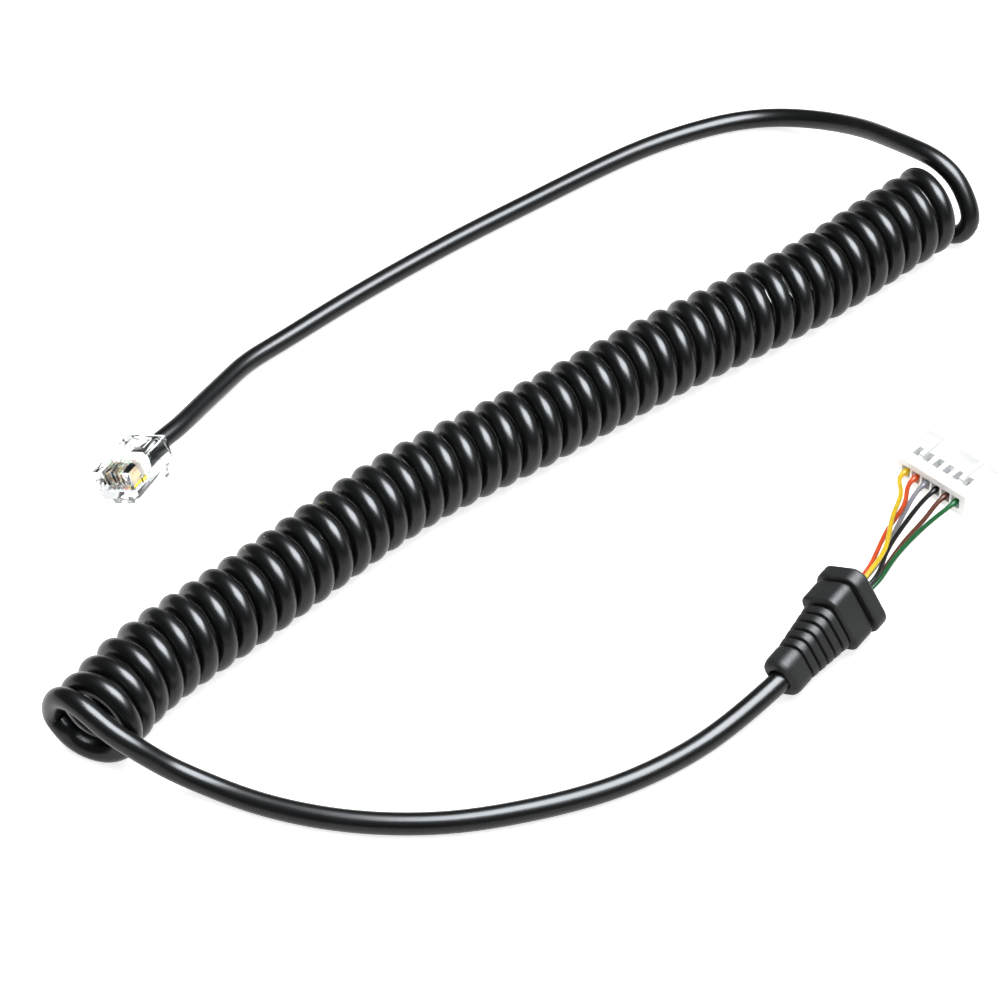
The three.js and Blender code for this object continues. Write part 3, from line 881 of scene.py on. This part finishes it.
@dataclass
class FlyLeads:
    """Six thin leads from the strain relief's bore to the housing."""

    radius: float = 0.475
    bundle_radius: float = 1.25
    flare: float = 0.68
    flare_length: float = 1.3
    step: float = 0.4
    sides: int = 14
    bore_clearance: float = 0.4
    # along the housing, the places that a lead passes on its way in
    way_in: Point = (-0.9, 0.4, 1.1)
    # the angle round the bore at which each lead leaves it
    bundle: dict[str, float] = field(default_factory=lambda: {
        "yellow": 90, "orange": 150, "grey": 210, "brown": 270, "green": 330, "black": 30})
    routes: dict[str, Sequence[Point]] = field(default_factory=lambda: {
        "yellow": ((27.0, -60.2, 9.8), (34.3, -56.7, 8.6), (43.0, -49.7, 6.7), (50.4, -44.0, 4.6)),
        "orange": ((26.6, -59.3, 8.9), (33.5, -55.4, 7.4), (41.4, -50.7, 5.7), (49.7, -46.2, 4.0)),
        "grey": ((26.9, -59.4, 7.6), (35.6, -55.2, 5.5), (43.0, -50.9, 4.3), (49.6, -47.2, 3.4)),
        "black": ((27.1, -61.6, 9.0), (34.3, -57.0, 7.3), (41.6, -53.0, 5.7), (49.0, -49.6, 4.1)),
        "brown": ((27.3, -60.8, 7.0), (34.6, -57.7, 5.4), (42.6, -54.3, 4.2), (50.4, -51.6, 3.2)),
        "green": ((27.2, -62.0, 7.9), (33.4, -59.3, 7.0), (41.6, -56.2, 5.8), (49.6, -53.8, 4.2))})

    def build(
        self, relief: StrainRelief, housing: CrimpHousing, on_end: Sequence[bpy.types.Object],
    ) -> list[bpy.types.Object]:
        """A lead's radius swells as 3t^2 - 2t^3, with t from 0 to 1, to a flare near its end, where
        its insulation is crimped.

        Args:
            relief: The strain relief that they leave.
            housing: The housing that they enter.
            on_end: The housing's pieces. Not used.

        Returns:
            The leads.
        """
        leads = []
        for i, colour in enumerate(COLOURS):
            line = self._line(colour, i, relief, housing)
            to_end = travelled(line)[-1] - travelled(line)
            swell = np.clip(1 - np.abs(to_end / MM - self.flare_length) / self.flare_length, 0, 1)
            radius = self.radius + (self.flare - self.radius) * swell**2 * (3 - 2 * swell)
            lead = skin(f"fly_lead_{colour}", tube(line, MM * radius, self.sides))
            insulation(colour).dress(lead, f"insulation_{colour}")
            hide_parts(f"lead_{colour}")
            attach(lead, "root")
            leads.append(lead)
        return leads

    def _line(self, colour: str, index: int, relief: StrainRelief, housing: CrimpHousing) -> np.ndarray:
        """One lead's centreline in metres."""
        turn = math.radians(self.bundle[colour] + relief.roll)
        across, up = -self.bundle_radius * math.cos(turn), self.bundle_radius * math.sin(turn)
        start = relief.length - (relief.bore_depth - self.bore_clearance)
        in_bore = relief.place().put([(x, across, up) for x in (start, relief.length)])
        way, middle = housing.way(index), housing.height / 2
        in_way = housing.place().put([(x, way, middle) for x in self.way_in])
        free = MM * (np.array(self.routes[colour]) + LAYOUT_SHIFT)
        return smooth_line(np.concatenate([in_bore, free, in_way]), MM * self.step)


# ---------------------------------------------------------------- plug


@dataclass
class ModularPlug:
    """The clear plug with its latch, gold contacts and the six cores inside.

    Its frame's middle is the body's, its nose points against X, and its contacts face Z.
    """

    length: float = 12.7
    pitch: float = 1.02
    nose_level: float = -2.0
    ease: float = 0.1
    contact_ease: float = 0.04
    # x, top, bottom, width and corner radius of the latch's sections
    latch_levels: Sequence[Point] = (
        (-6.2, -3.5, -4.1, 5.2, 0.2), (-6.15, -3.15, -4.3, 5.6, 0.25),
        (-5.5, -3.15, -4.5, 5.8, 0.25), (-5.1, -3.72, -4.55, 5.8, 0.25),
        (-1.5, -4.4, -5.2, 5.8, 0.25), (-1.1, -4.47, -5.27, 3.3, 0.25),
        (5.6, -5.63, -6.4, 3.3, 0.25), (6.55, -5.8, -6.5, 3.2, 0.25),
        (6.6, -5.95, -6.35, 2.8, 0.15))
    latch_rounding: float = 0.2
    # two places near the latch's root; _latch puts them in the part's frame, but nothing bends the latch between
    # them
    bend: Sequence[Point] = ((-5.9, 0, -3.9), (-5.1, 0, -4.1))
    # height, middle along X, length, width and corner radius of the clamp bar's sections
    bar_levels: Sequence[Point] = (
        (-0.45, -0.5, 2.3, 6.2, 0.3), (0.2, -0.5, 2.5, 6.6, 0.3), (1.9, -0.4, 2.6, 6.8, 0.3),
        (2.6, -0.35, 2.6, 6.8, 0.35))
    bar_rounding: float = 0.15
    core_radius: float = 0.4
    core_level: float = -1.0
    core_step: float = 0.3
    core_sides: int = 14
    # along X, where the cores lie side by side, and where they lie in a ring in the jacket
    cores_flat: Point = (-5.2, -3.2, -1.4)
    cores_ringed: Point = (0.4, 1.7)
    ring_radius: float = 1.2
    ring_angles: Point = (0, 300, 60, 120, 240, 180)
    corner_points: int = 5
    sharp: float = 35.0

    def place(self) -> Place:
        """The plug's frame, from the mount on its nose and the latch's hinge, which runs across it."""
        hinge = next(j for j in frame["joints"] if j["name"] == "plug_latch_hinge")
        nose = next(m for m in frame["record"]["mounts"] if m["name"] == "plug_nose")
        top = np.cross(-np.array(nose["axis"]), -np.array(hinge["axis"]))
        return Place.on_mount("plug_nose", (-self.length / 2, 0, self.nose_level), -1, top)

    def build(self) -> list[bpy.types.Object]:
        """Makes the plug's pieces, dresses them, and returns them."""
        shell = eased_copy("plug_moulding", "plug_body", MM * self.ease)
        CLEAR.dress(shell, "plug_clear")
        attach(shell, "root")
        return [shell, self._latch(), self._bar(), *self._contacts(), *self._cores()]

    def _latch(self) -> bpy.types.Object:
        """The latch: a web at the nose, a wide root and a narrow tab that slopes away below.

        Each station is a rounded oblong between a top and a bottom level.
        """
        x, top, bottom, width, corner = np.array(self.latch_levels).T
        stations = np.stack([x, 0 * x, (top + bottom) / 2, width, top - bottom, corner], axis=1)
        grid = oblong_rings(rounded_run(stations, self.latch_rounding), self.corner_points)
        latch = skin("latch_moulding", self.place().put(grid), self.sharp)
        CLEAR.dress(latch, "plug_clear")
        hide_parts("plug_latch")
        start, end = self.place().put(self.bend)
        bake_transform(latch)
        return latch

    def _bar(self) -> bpy.types.Object:
        """The frosted bar that is pressed down over the cores: a rounded oblong that tapers upward.

        It hangs in a slot of the plug, and its rings run from its foot to its top.
        """
        up, along, length, width, corner = np.array(self.bar_levels).T
        stations = np.stack([up, along, 0 * up, length, width, corner], axis=1)
        grid = oblong_rings(rounded_run(stations, self.bar_rounding), self.corner_points)
        bar = skin("clamp_bar", self.place().put(grid[:, :, [1, 2, 0]]), self.sharp)
        FROSTED.dress(bar, "plug_clear")
        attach(bar, "root")
        return bar

    def _contacts(self) -> list[bpy.types.Object]:
        """The gold blades."""
        blades = []
        for i in range(1, WAYS + 1):
            blade = eased_copy(f"contact_blade_{i}", f"plug_contact_{i}", MM * self.contact_ease)
            GOLD.dress(blade, "contact_gold")
            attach(blade, "root")
            blades.append(blade)
        return blades

    def _cores(self) -> list[bpy.types.Object]:
        """The cores, which leave the jacket in a ring and run side by side under the contacts."""
        cores = []
        for i, angle in enumerate(self.ring_angles):
            colour = COLOURS[WAYS - 1 - i]
            flat_y = ((WAYS - 1) / 2 - i) * self.pitch
            ring_y = self.ring_radius * math.cos(math.radians(angle))
            ring_z = self.ring_radius * math.sin(math.radians(angle))
            flat = [(x, flat_y, self.core_level) for x in self.cores_flat]
            ringed = [(x, ring_y, ring_z) for x in self.cores_ringed]
            line = smooth_line(self.place().put(flat + ringed), MM * self.core_step)
            grid = tube(line, MM * self.core_radius, self.core_sides)
            core = skin(f"core_{colour}", grid)
            insulation(colour).dress(core, f"insulation_{colour}")
            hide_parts(f"plug_wire_{colour}")
            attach(core, "root")
            cores.append(core)
        return cores


def main() -> None:
    """Builds the studio and every sub-assembly, in order, and reports each piece."""
    logging.basicConfig(level=logging.INFO, format="%(name)s: %(message)s")
    Studio().build()
    relief, housing, plug = StrainRelief(), CrimpHousing(), ModularPlug()
    on_plug = plug.build()
    cord = CurlyCord().build(on_plug)
    moulding = relief.build()
    on_end = housing.build()
    leads = FlyLeads().build(relief, housing, on_end)
    for piece in (*on_plug, cord, moulding, *on_end, *leads):
        LOG.info("%s made, with %d faces", piece.name, len(piece.data.polygons))


if __name__ == "__main__":
    main()
